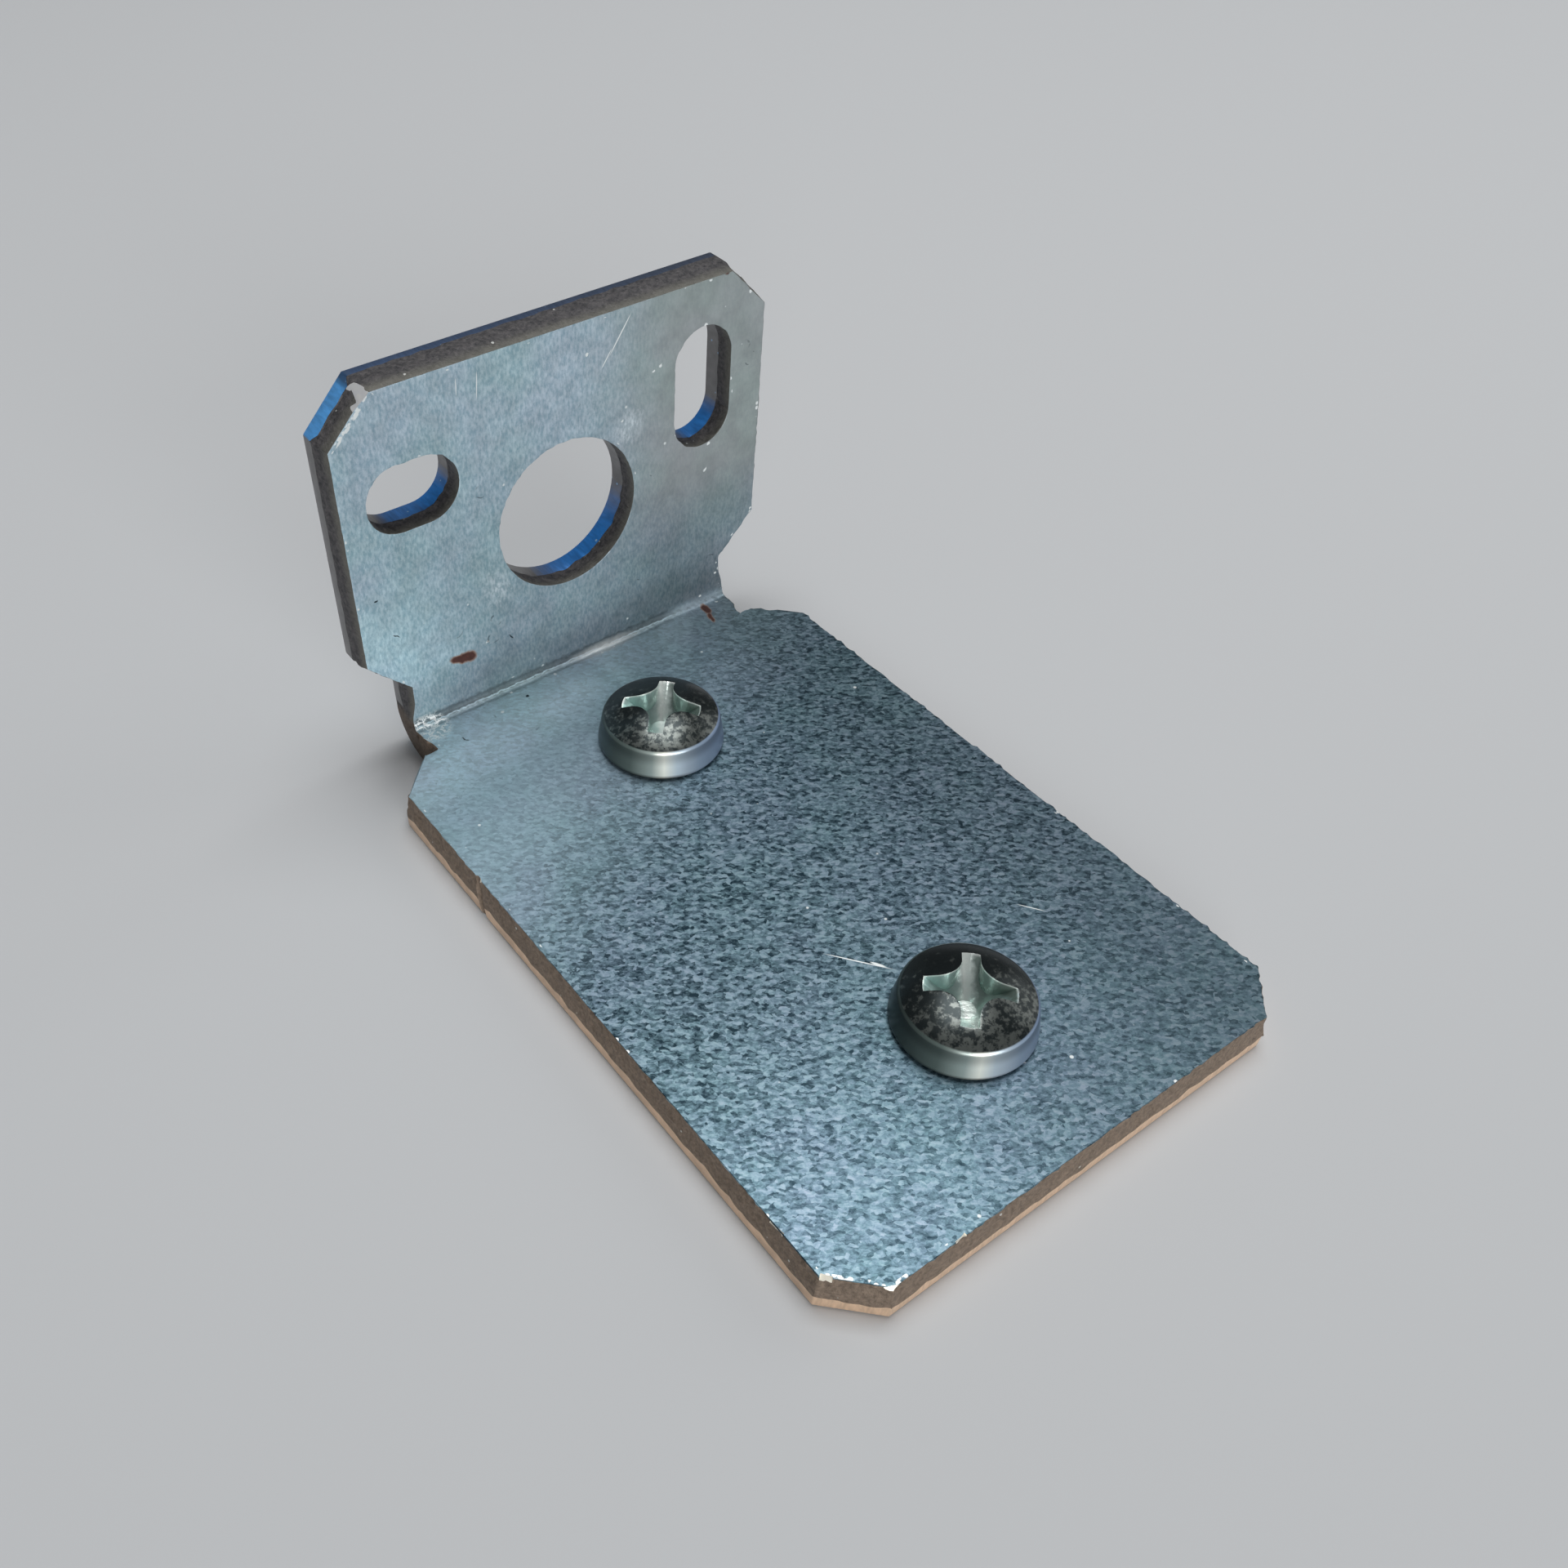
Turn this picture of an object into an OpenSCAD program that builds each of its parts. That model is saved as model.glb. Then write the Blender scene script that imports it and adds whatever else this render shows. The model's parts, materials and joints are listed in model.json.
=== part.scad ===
// Angle bracket folded from one punched steel sheet, with its two pan head screws.
// The base leg lies on Z = 0 and the upright leg stands at its +Y end.
// The origin is on the underside of the base leg, midway between the screws.

/* [Sheet] */
// Thickness of the sheet
sheet_t = 2.5; // [1.5:0.1:4]
// Inside radius of the fold
fold_r = 0.5; // [0.3:0.1:1.5]
// Width of the neck at the fold
neck_w = 24.9; // [20:0.1:27]

/* [Punched edges] */
// Break of the edges on the outer face, where the punch went in
edge_roll = 0.1; // [0.05:0.05:0.4]
// Height of the smooth sheared band, from the outer face
shear_band = 1; // [0.5:0.05:1.3]
// How far the torn part of the edge leans back at the inner face
tear_lean = 0.25; // [0.05:0.05:0.4]

/* [Base leg] */
// Width of the base leg
base_w = 32.3; // [31:0.1:60]
// Length of the base leg, from the upright's inner face to its free end
base_l = 47.2; // [46:0.1:90]
// Cut at each corner of the free end
base_corner = 2.6; // [1:0.1:6]
// Length of the neck on the base leg, from the upright's inner face
base_neck = 2.4; // [2:0.1:4]
// Step from the neck's edge out to the slanted shoulder
base_step = 0.9; // [0.4:0.1:1.4]

/* [Upright leg] */
// Width of the upright leg
upright_w = 30.4; // [29.5:0.1:60]
// Height of the upright leg, from the base leg's inner face to its top
upright_h = 23.7; // [22:0.1:60]
// Cut at each corner of the top
upright_corner = 2.8; // [1:0.1:5]
// Length of the neck on the upright leg, from the base leg's inner face
upright_neck = 3.2; // [2:0.1:4]

/* [Holes of the upright leg] */
// Diameter of the round hole
hole_d = 10; // [6:0.1:11]
// Height of the round hole's centre above the base leg's inner face
hole_up = 11.4; // [11:0.1:14]
// Width of both slots
slot_w = 4.3; // [3:0.1:5]
// Distance from the top of the upright leg down to the slots' centres
slot_drop = 7.1; // [6:0.1:8]
// Distance between the slots' centres
slot_gap = 20.6; // [20:0.1:22]
// Length of the level slot
level_slot_l = 6; // [5.2:0.1:7]
// Length of the upright slot
upright_slot_l = 8; // [5.2:0.1:9]

/* [Screws] */
// Distance from the upright's inner face to the nearer screw
screw_setback = 10; // [8:0.1:14]
// Distance from the base leg's free end to the other screw
screw_inset = 9.6; // [7:0.1:14]
// Outer diameter of the screw thread
thread_d = 4; // [3.5:0.1:5]
// Core diameter of the screw thread, which the shank has inside its tapped hole
core_d = 3.2; // [2.6:0.1:3.4]
// Gap between the core and the wall of the tapped hole
core_gap = 0.05; // [0.02:0.01:0.1]
// Length of the shank under the head
shank_l = 8; // [6:1:20]
// Cut at the tip of the shank
tip_cut = 0.5; // [0.2:0.1:0.8]
// Diameter of the head at its foot
head_d = 8.2; // [7.4:0.1:9]
// Height of the head
head_h = 3.1; // [2.6:0.1:4]
// Lean of the head's side, inwards to the top
head_lean = 10; // [0:1:12]
// Radius of the head's domed top
crown_r = 7; // [6.5:0.5:12]
// Rounding between the domed top and the side of the head
rim_r = 0.4; // [0.2:0.1:0.8]

/* [Cross recess] */
// Span of the recess from tip to tip, on the domed top
recess_span = 5; // [3.4:0.1:5.4]
// Depth of the recess
recess_depth = 2.2; // [1.6:0.1:2.4]
// Width of the recess's arms
recess_arm = 1; // [0.6:0.05:1.2]
// Rounding where two arms meet
recess_round = 1.3; // [0.4:0.1:1.6]
// Flat width at the bottom of the recess
recess_floor = 1.2; // [0.6:0.1:1.6]
// Turn of the recess about the screw
recess_turn = 45; // [0:5:90]

/* [Hidden] */
$fn = 96;
// Overshoot of the cutting shapes
over = 1;
// Overlap of the neck and a leg, past the setback of their edges
root = 2 * max(edge_roll, tear_lean);
// More than the length of any edge
reach = base_w + base_l + upright_w + upright_h;
screw_gap = base_l - screw_setback - screw_inset;
inner_y = screw_gap / 2 + screw_setback;
inner_z = sheet_t;
slot_up = upright_h - slot_drop;
screw_ys = [-screw_gap / 2, screw_gap / 2];
crown_z = head_h - crown_r;
// Heights above the outer face and setbacks that make up a punched edge
edge_section = [[0, edge_roll], [edge_roll, 0], [shear_band, 0], [sheet_t, tear_lean]];

// Outline of a leg beyond its neck, anticlockwise: u across, v away from the other leg
function leg_outline(w, l, corner, root_u, root_v) =
    let (
        right = [[root_u, root_v], [w / 2, root_v + w / 2 - root_u], [w / 2, l - corner], [w / 2 - corner, l]],
        left = [for (i = [len(right) - 1:-1:0]) [-right[i].x, right[i].y]]
    )
    concat(right, left);

// Everything on the left of a straight punched edge from p to q, outer face down
module edge_side(p, q) {
    d = q - p;
    section = [for (s = edge_section) [s[1], s[0]]];
    translate(p)
        rotate(atan2(d.y, d.x))
            rotate([90, 0, 90])
                linear_extrude(2 * reach, center = true)
                    polygon(concat(section, [[reach, sheet_t], [reach, 0]]));
}

// A flat leg: what lies inside all the punched edges of its outline
module punched_leg(points) {
    n = len(points);
    intersection_for (i = [0:n - 1])
        edge_side(points[i], points[(i + 1) % n]);
}

// Section of the neck across its width, from the outer face at 0 to the inner face
module neck_section() {
    right = [for (s = edge_section) [s[0], neck_w / 2 - s[1]]];
    left = [for (i = [len(right) - 1:-1:0]) [right[i].x, -right[i].y]];
    polygon(concat(right, left));
}

// Straight part of the neck, from the fold to a place on the leg
module neck(v) {
    translate([0, fold_r, 0])
        rotate([0, -90, -90])
            linear_extrude(v - fold_r)
                neck_section();
}

// The fold: the neck's section turned a quarter about the inside of the corner
module fold() {
    translate([0, inner_y - fold_r, inner_z + fold_r])
        rotate([90, 0, 90])
            rotate(-90)
                rotate_extrude(angle = 90)
                    translate([fold_r + sheet_t, 0]) mirror([1, 0]) neck_section();
}

// Places children drawn in a leg's plane, outer face down, on the base leg
module on_base() {
    translate([0, inner_y, 0]) mirror([0, 1, 0]) children();
}

// Places children drawn in a leg's plane, outer face down, on the upright leg
module on_upright() {
    translate([0, inner_y + sheet_t, inner_z]) rotate([90, 0, 0]) children();
}

// Plan of a slot with round ends, its length along X
module slot_plan(l, w) {
    straight = l - w;
    square([straight, w], center = true);
    for (side = [-1, 1])
        translate([side * straight / 2, 0]) circle(d = w);
}

// Cuts a plan right through a sheet that lies on Z = 0
module through() {
    translate([0, 0, -over]) linear_extrude(sheet_t + 2 * over) children();
}

// Base leg: its slanted shoulders start a step outside the neck
module base_leg() {
    punched_leg(leg_outline(base_w, base_l, base_corner, neck_w / 2 + base_step, base_neck));
    neck(base_neck + root);
}

// Upright leg: its slanted shoulders run on into the neck
module upright_leg() {
    punched_leg(leg_outline(upright_w, upright_h, upright_corner, neck_w / 2 - root, upright_neck - root));
    neck(upright_neck + root);
}

module bracket() {
    color([0.50, 0.59, 0.63])
    difference() {
        union() {
            on_base() base_leg();
            fold();
            on_upright() upright_leg();
        }
        for (y = screw_ys)
            translate([0, y, -over]) cylinder(h = sheet_t + 2 * over, d = core_d + 2 * core_gap);
        on_upright() {
            translate([0, hole_up, -over]) cylinder(h = sheet_t + 2 * over, d = hole_d);
            translate([-slot_gap / 2, slot_up]) through() slot_plan(level_slot_l, slot_w);
            translate([slot_gap / 2, slot_up]) through() rotate(90) slot_plan(upright_slot_l, slot_w);
        }
    }
}

// Half section of the pan head: leaning side, rounded rim and domed top, each tangent to the next
module head_section() {
    rim_reach = crown_r - rim_r;
    side_reach = head_d / 2 * cos(head_lean) - rim_r;
    rim_a = head_lean + acos((side_reach - crown_z * sin(head_lean)) / rim_reach);
    rim_c = [rim_reach * cos(rim_a), crown_z + rim_reach * sin(rim_a)];
    side_top = rim_c + rim_r * [cos(head_lean), sin(head_lean)];
    crown_x = rim_c.x * crown_r / rim_reach;
    polygon([[0, 0], [head_d / 2, 0], side_top, rim_c, [0, rim_c.y]]);
    translate(rim_c) circle(rim_r);
    intersection() {
        translate([0, crown_z]) circle(crown_r, $fn = 360);
        square([crown_x, head_h]);
    }
}

// Plan of the cross: arms along X and Y with a round corner between each two
module cross_plan() {
    arm = recess_arm / 2;
    far = recess_span;
    mid = arm + recess_round;
    difference() {
        square(recess_span + 2 * over, center = true);
        for (turn = [0:90:270])
            rotate(turn) {
                translate([mid, mid]) circle(recess_round);
                translate([mid, arm]) square([far, far]);
                translate([arm, mid]) square([far, far]);
            }
    }
}

// Cross recess: the cross's straight walls inside a cone that narrows downwards from the tips of its arms
module recess() {
    floor_z = head_h - recess_depth;
    tip_r = recess_span / 2;
    tip_z = crown_z + sqrt(crown_r * crown_r - tip_r * tip_r);
    slope = (tip_r - recess_floor / 2) / (tip_z - floor_z);
    cut_h = recess_depth + over;
    rotate(recess_turn)
        translate([0, 0, floor_z])
            intersection() {
                linear_extrude(cut_h) cross_plan();
                cylinder(h = cut_h, d1 = recess_floor, d2 = recess_floor + 2 * slope * cut_h);
            }
}

// One screw, the underside of its head on Z = 0 and its shank downwards through the sheet
module screw() {
    difference() {
        rotate_extrude() head_section();
        recess();
    }
    translate([0, 0, -sheet_t]) cylinder(h = sheet_t, d = core_d);
    translate([0, 0, tip_cut - shank_l]) cylinder(h = shank_l - tip_cut - sheet_t, d = thread_d);
    translate([0, 0, -shank_l]) cylinder(h = tip_cut, d1 = thread_d - 2 * tip_cut, d2 = thread_d);
}

module screws() {
    color([0.76, 0.79, 0.80])
    for (y = screw_ys)
        translate([0, y, sheet_t]) screw();
}

bracket();
screws();
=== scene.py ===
"""Angle bracket of galvanised sheet with its two pan head screws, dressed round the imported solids."""
from functools import partial
import json
import math

import bmesh
import bpy
from mathutils import Matrix, Vector

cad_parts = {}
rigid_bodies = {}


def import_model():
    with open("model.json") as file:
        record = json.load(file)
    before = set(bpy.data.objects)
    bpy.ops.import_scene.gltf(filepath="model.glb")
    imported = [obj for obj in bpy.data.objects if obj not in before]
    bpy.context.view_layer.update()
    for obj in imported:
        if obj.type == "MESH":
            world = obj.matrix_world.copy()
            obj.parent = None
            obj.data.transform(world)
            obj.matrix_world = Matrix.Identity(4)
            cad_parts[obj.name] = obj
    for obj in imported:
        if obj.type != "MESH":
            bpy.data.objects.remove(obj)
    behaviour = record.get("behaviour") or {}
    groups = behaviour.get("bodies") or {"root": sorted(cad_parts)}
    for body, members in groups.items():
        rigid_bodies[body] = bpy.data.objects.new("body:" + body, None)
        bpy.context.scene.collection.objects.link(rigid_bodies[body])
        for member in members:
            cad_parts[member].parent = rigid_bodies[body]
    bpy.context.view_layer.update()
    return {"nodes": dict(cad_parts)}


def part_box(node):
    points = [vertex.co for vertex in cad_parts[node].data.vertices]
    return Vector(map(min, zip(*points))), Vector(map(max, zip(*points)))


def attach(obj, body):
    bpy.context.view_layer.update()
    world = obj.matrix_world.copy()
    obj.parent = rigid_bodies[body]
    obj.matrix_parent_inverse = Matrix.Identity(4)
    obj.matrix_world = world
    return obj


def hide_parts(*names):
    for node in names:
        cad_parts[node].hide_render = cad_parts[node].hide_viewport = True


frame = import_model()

# Sizes of the part, repeated from its source
MM = 0.001
SHEET_T = 2.5 * MM
FOLD_R = 0.5 * MM
SHEAR_BAND = 1 * MM
INNER_Y = 23.8 * MM
OUTER_Y = INNER_Y + SHEET_T
FOLD_Y = INNER_Y - FOLD_R
FOLD_Z = SHEET_T + FOLD_R
SCREW_Y = 13.8 * MM
HEAD_R = 4.1 * MM
HEAD_H = 3.1 * MM
HEAD_LEAN = math.radians(10)
CROWN_R = 7 * MM
RIM_R = 0.4 * MM
CORE_R = 1.6 * MM
THREAD_R = 2 * MM
THREAD_PITCH = 0.7 * MM
SHANK_L = 8 * MM
TIP_CUT = 0.5 * MM
RECESS_SPAN = 5 * MM
RECESS_DEPTH = 2.2 * MM
RECESS_ARM = 1 * MM
RECESS_ROUND = 1.3 * MM
RECESS_FLOOR = 1.2 * MM
RECESS_TURN = math.radians(45)

# Points closer than this count as one, in metres: in the solid's mesh, and in what is cut or spun
WELD = 1e-6
FINE_WELD = 1e-7

# Material slots of the bracket's mesh
SHEET_SLOTS = 5
SHEET, SHEARED, TORN, RIM, BARE = range(SHEET_SLOTS)
# Material slots of a screw's mesh
SCREW_SLOTS = 2
PLATING, RECESS = range(SCREW_SLOTS)


# Modelling by hand: opening a piece, picking parts of it and applying modifiers
def focus(piece):
    """Makes a piece the only one selected, and the active one."""
    bpy.ops.object.select_all(action="DESELECT")
    piece.select_set(True)
    bpy.context.view_layer.objects.active = piece


def edit(piece):
    """Opens one piece for editing, with nothing in it selected."""
    if bpy.context.mode != "OBJECT":
        bpy.ops.object.mode_set(mode="OBJECT")
    focus(piece)
    bpy.ops.object.mode_set(mode="EDIT")
    bpy.ops.mesh.select_all(action="DESELECT")


def take_all():
    """Selects all of the open piece."""
    bpy.ops.mesh.select_all(action="SELECT")


def close():
    """Back to object mode with nothing selected."""
    bpy.ops.object.mode_set(mode="OBJECT")
    bpy.ops.object.select_all(action="DESELECT")


def pick(piece, kind, test):
    """Selects the faces, edges or verts of an open piece that pass a test, and no others."""
    bpy.ops.mesh.select_mode(type={"faces": "FACE", "edges": "EDGE", "verts": "VERT"}[kind])
    bpy.ops.mesh.select_all(action="DESELECT")
    mesh = bmesh.from_edit_mesh(piece.data)
    for part in getattr(mesh, kind):
        if test(part):
            part.select_set(True)
    mesh.select_flush_mode()
    bmesh.update_edit_mesh(piece.data)


def new_piece(name, mesh):
    """A piece at the origin from a mesh of its own."""
    piece = bpy.data.objects.new(name, mesh)
    bpy.context.scene.collection.objects.link(piece)
    return piece


def apply_modifiers(piece):
    """Applies every modifier of a piece, in order."""
    focus(piece)
    for modifier in list(piece.modifiers):
        bpy.ops.object.modifier_apply(modifier=modifier.name)


def group(piece, name, test):
    """A vertex group of the vertices that pass a test."""
    made = piece.vertex_groups.new(name=name)
    made.add([v.index for v in piece.data.vertices if test(v)], 1.0, "REPLACE")


def roughen(piece, group_name, grain, span, direction, centre=0.5):
    """Moves a group of vertices by a cloudy pattern: its grain and the span of the move in metres."""
    pattern = bpy.data.textures.new(group_name, "CLOUDS")
    pattern.noise_scale = grain
    pattern.noise_depth = 2
    displace = piece.modifiers.new(group_name, "DISPLACE")
    displace.texture = pattern
    displace.texture_coords = "LOCAL"
    displace.vertex_group = group_name
    displace.direction = direction
    displace.strength = span
    displace.mid_level = centre


# The bracket: the solid's mesh, with worked edges. Parts of a normal tell a side of the sheet and an end of
# the fold from the rest.
SIDE_NORMAL = 0.8
END_NORMAL = 0.5


def on_upright_leg(p):
    """True for a place on the upright leg, above the fold."""
    return p.z > FOLD_Z and p.y > FOLD_Y


def in_fold(p):
    """True for a place in the fold, between the two legs."""
    return p.y > FOLD_Y and p.z < FOLD_Z


def height(p):
    """Height of a point of the sheet above its outer face."""
    if on_upright_leg(p):
        return OUTER_Y - p.y
    if p.y > FOLD_Y:
        return FOLD_R + SHEET_T - math.hypot(p.y - FOLD_Y, p.z - FOLD_Z)
    return p.z


def is_edge(face):
    """True for a face of a punched edge or a hole's wall, which crosses the sheet."""
    p = face.calc_center_median()
    n = face.normal
    if on_upright_leg(p):
        return abs(n.y) < SIDE_NORMAL
    if p.y > FOLD_Y:
        return abs(n.x) > END_NORMAL
    return abs(n.z) < SIDE_NORMAL


def set_slot(piece, test, slot):
    """Gives the faces of an open piece that pass a test a material slot."""
    mesh = bmesh.from_edit_mesh(piece.data)
    for face in mesh.faces:
        if test(face):
            face.material_index = slot
    bmesh.update_edit_mesh(piece.data)


def cut(piece, test, normal, places):
    """Cuts the faces that pass a test with planes across a direction, at places along it."""
    for place in places:
        pick(piece, "faces", test)
        bpy.ops.mesh.bisect(plane_co=Vector(normal) * place, plane_no=normal, threshold=FINE_WELD)


def steps(start, end, step):
    """Places from start to end, a step apart or a little less."""
    count = max(1, math.ceil((end - start) / step))
    return [start + (end - start) * i / count for i in range(count + 1)]


def start_piece(name):
    """Names the primitive just added and leaves it open for editing, all selected."""
    piece = bpy.context.object
    piece.name = name
    piece.data.name = name
    bpy.ops.object.mode_set(mode="EDIT")
    take_all()
    return piece


def settle(piece):
    """Closes a piece and moves its place into its mesh."""
    close()
    focus(piece)
    bpy.ops.object.transform_apply(location=True, rotation=True, scale=True)


def combine(piece, other, operation):
    """Joins, cuts or keeps the shared part of two solids, and drops the second."""
    boolean = piece.modifiers.new(operation, "BOOLEAN")
    boolean.object = other
    boolean.operation = operation
    boolean.solver = "MANIFOLD"
    apply_modifiers(piece)
    bpy.data.meshes.remove(other.data)


def give_slots(piece, count):
    """Empty material slots, to be filled once the materials are made."""
    piece.data.materials.clear()
    for slot in range(count):
        piece.data.materials.append(None)


FLAT_ANGLE = math.radians(0.2)
SHARP_ANGLE = math.radians(12)
SHEET_SMOOTH = math.radians(25)
SCREW_SMOOTH = math.radians(30)
# Areas that only faces of the sheet's two sides have, before and after the chips
LARGE_FACE = 20 * MM * MM
SHEET_FACE = 5 * MM * MM
EDGE_BREAK = 0.05 * MM
RIM_WIDTH = 0.2 * MM
# Length of the pieces along the edges and the crease, and heights of the rows through the thickness
EDGE_STEP = 0.35 * MM
CREASE_STEP = 0.5 * MM
ROWS = [h * MM for h in (1, 1.3, 1.6, 1.9, 2.2)]
NEAR = 0.02 * MM


def worked(face):
    """True for a face of a punched edge or of the rim beside it."""
    return face.material_index in (TORN, RIM)


def in_crease(p):
    """True for a place on the inside of the fold."""
    return p.y > FOLD_Y - NEAR and p.z < FOLD_Z + NEAR and height(p) > SHEET_T - NEAR


def on_tear(vertex):
    """True for a vertex of the upright leg between the sheared band and the torn part of an edge."""
    return abs(height(vertex.co) - SHEAR_BAND) < NEAR and on_upright_leg(vertex.co)


bracket = new_piece("galvanised_bracket", frame["nodes"]["bracket"].data.copy())
focus(bracket)
bpy.ops.mesh.customdata_custom_splitnormals_clear()
give_slots(bracket, SHEET_SLOTS)
edit(bracket)
take_all()
bpy.ops.mesh.remove_doubles(threshold=WELD)
bpy.ops.mesh.dissolve_limited(angle_limit=FLAT_ANGLE)
set_slot(bracket, lambda f: True, SHEET)

# Every sharp edge is broken
pick(bracket, "edges", lambda e: e.is_manifold and e.calc_face_angle() > SHARP_ANGLE)
bpy.ops.mesh.bevel(offset=EDGE_BREAK, segments=2, affect="EDGES", clamp_overlap=True)

# A narrow rim inside the outline and round each hole takes up the rough edge
pick(bracket, "faces", lambda f: f.calc_area() > LARGE_FACE and not is_edge(f))
bpy.ops.mesh.inset(thickness=RIM_WIDTH, use_boundary=True, use_even_offset=True, use_select_inset=True)
set_slot(bracket, lambda f: f.select, RIM)
set_slot(bracket, lambda f: f.material_index != RIM and is_edge(f), TORN)

# Rows through the thickness and cuts along the edges
cut(bracket, lambda f: f.material_index == TORN and f.calc_center_median().y < FOLD_Y, (0, 0, 1), ROWS)
cut(bracket, lambda f: f.material_index == TORN and f.calc_center_median().z > FOLD_Z, (0, 1, 0),
    [OUTER_Y - h for h in ROWS])
low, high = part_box("bracket")
cut(bracket, worked, (1, 0, 0), steps(low.x, high.x, EDGE_STEP)[1:-1])
cut(bracket, worked, (0, 1, 0), steps(low.y, FOLD_Y, EDGE_STEP)[1:-1])
cut(bracket, worked, (0, 0, 1), steps(FOLD_Z, high.z, EDGE_STEP)[1:-1])
set_slot(bracket, lambda f: f.material_index == TORN and height(f.calc_center_median()) < SHEAR_BAND
         and not in_fold(f.calc_center_median()), SHEARED)
set_slot(bracket, lambda f: f.material_index == RIM and height(f.calc_center_median()) < SHEAR_BAND, SHEET)

# Cuts across the inside of the fold, which is not quite even
cut(bracket, lambda f: f.material_index == SHEET and in_crease(f.calc_center_median()), (1, 0, 0),
    steps(low.x, high.x, CREASE_STEP)[1:-1])

# The tear lies nearer the outer face along the top, and further in round the holes and at the struck
# corner: which part of its line moves, and how far along Y
TEAR_MOVES = (
    (lambda p: p.z > high.z - 0.1 * MM, 0.35 * MM),
    (lambda p: abs(p.x) < 13.5 * MM and 8 * MM < p.z < 24 * MM, -0.2 * MM),
    (lambda p: p.x < -12.5 * MM and p.z > 23.5 * MM, -0.25 * MM),
)
for in_part, move in TEAR_MOVES:
    pick(bracket, "verts", lambda v: on_tear(v) and in_part(v.co))
    bpy.ops.transform.translate(value=(0, move, 0))

# The fold's ends are squeezed outwards: side, how far and how much of the end moves along
BULGES = ((1, 0.4 * MM, 1.9 * MM), (-1, 0.32 * MM, 1.6 * MM))
for side, bulge, reach in BULGES:
    pick(bracket, "verts", lambda v: side * v.co.x > 12 * MM and height(v.co) > SHEET_T - 0.2 * MM
         and FOLD_Y - 0.6 * MM < v.co.y and v.co.z < FOLD_Z + 0.1 * MM)
    bpy.ops.transform.translate(value=(side * bulge, 0, 0), use_proportional_edit=True,
                                use_proportional_connected=True, proportional_edit_falloff="SMOOTH",
                                proportional_size=reach)
close()

# Vertices of the worked edges, by their place through the sheet's thickness
TEAR_TOP = SHEET_T - 0.1 * MM
BURR_FOOT = SHEET_T - 0.08 * MM
sheared = set()
torn = set()
for face in bracket.data.polygons:
    if face.material_index == SHEARED:
        sheared.update(face.vertices)
    if face.material_index == TORN:
        torn.update(face.vertices)
edges = sheared | torn
tear_line = sheared & torn
burr = {i for i in edges if height(bracket.data.vertices[i].co) > BURR_FOOT}
upright = {v.index for v in bracket.data.vertices if on_upright_leg(v.co)}
GROUPS = {
    "burr_base": burr - upright,
    "burr_upright": burr & upright,
    "tear_line_base": tear_line - upright,
    "tear_line_upright": tear_line & upright,
}
for name, members in GROUPS.items():
    group(bracket, name, lambda v: v.index in members)
torn_part = edges - tear_line
group(bracket, "torn", lambda v: v.index in torn_part and SHEAR_BAND < height(v.co) < TEAR_TOP)
group(bracket, "crease", lambda v: in_crease(v.co) and v.index not in edges)

# How they are roughened: grain and span of the move in millimetres, direction and centre of the move
ROUGHNESS = (
    ("tear_line_base", 0.9, 0.7, "Z", 0.65),
    ("tear_line_upright", 0.9, 0.4, "Y", 0.5),
    ("torn", 0.35, 0.3, "NORMAL", 0.5),
    ("burr_base", 0.4, 0.4, "NORMAL", 0.5),
    ("burr_upright", 0.4, 0.16, "NORMAL", 0.5),
    ("crease", 1.0, 0.16, "NORMAL", 0.5),
)
for name, grain, span, direction, centre in ROUGHNESS:
    roughen(bracket, name, grain * MM, span * MM, direction, centre)
apply_modifiers(bracket)


def strike(piece, place, facing, size):
    """A chip struck off an edge: takes away what lies beyond a plane, within a small size."""
    out = Vector(facing).normalized()
    bpy.ops.object.select_all(action="DESELECT")
    bpy.ops.mesh.primitive_cube_add(size=size, location=Vector(place) * MM + out * size / 2,
                                    rotation=out.to_track_quat("Z", "Y").to_euler())
    cutter = start_piece("chip")
    bpy.ops.mesh.subdivide(number_cuts=5)
    settle(cutter)
    group(cutter, "chip", lambda v: True)
    roughen(cutter, "chip", 0.4 * MM, 0.06 * MM, "NORMAL")
    apply_modifiers(cutter)
    give_slots(cutter, SHEET_SLOTS)
    edit(cutter)
    set_slot(cutter, lambda f: True, BARE)
    close()
    combine(piece, cutter, "DIFFERENCE")


# Chips at the corners and along the edges: place in millimetres, the way they face, and their size
CHIPS = (
    ((-12.55, 24.215, 25.72), (-0.58, -0.3, 0.757), 2.2),
    ((-13.34, -23.12, 2.42), (-0.27, -0.65, 0.71), 1.6),
    ((-15.93, -17.6, 2.42), (-0.7, -0.1, 0.7), 0.9),
    ((-15.6, -20.9, 2.42), (-0.5, -0.4, 0.75), 0.6),
    ((-9.1, -23.13, 2.43), (0.1, -0.6, 0.8), 0.7),
    ((-15.9, 9.95, 2.45), (-0.6, 0.1, 0.8), 0.4),
)
for place, facing, size in CHIPS:
    strike(bracket, place, facing, size * MM)

# A nick across the base leg's left edge
NICK_R = 0.3 * MM
NICK_DEPTH = 0.15 * MM
NICK_Y = 9.75 * MM
NICK_TURN = math.radians(-18)
EDGE_LEAN = math.atan2(0.25 * MM, SHEET_T)
bpy.ops.object.select_all(action="DESELECT")
bpy.ops.mesh.primitive_cylinder_add(
    vertices=20, radius=NICK_R, depth=4 * MM, rotation=(NICK_TURN, EDGE_LEAN, 0),
    location=(low.x + NICK_DEPTH - NICK_R + 0.1 * MM, NICK_Y, SHEET_T / 2))
nick = start_piece("nick")
settle(nick)
give_slots(nick, SHEET_SLOTS)
edit(nick)
set_slot(nick, lambda f: True, TORN)
close()
combine(bracket, nick, "DIFFERENCE")

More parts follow.
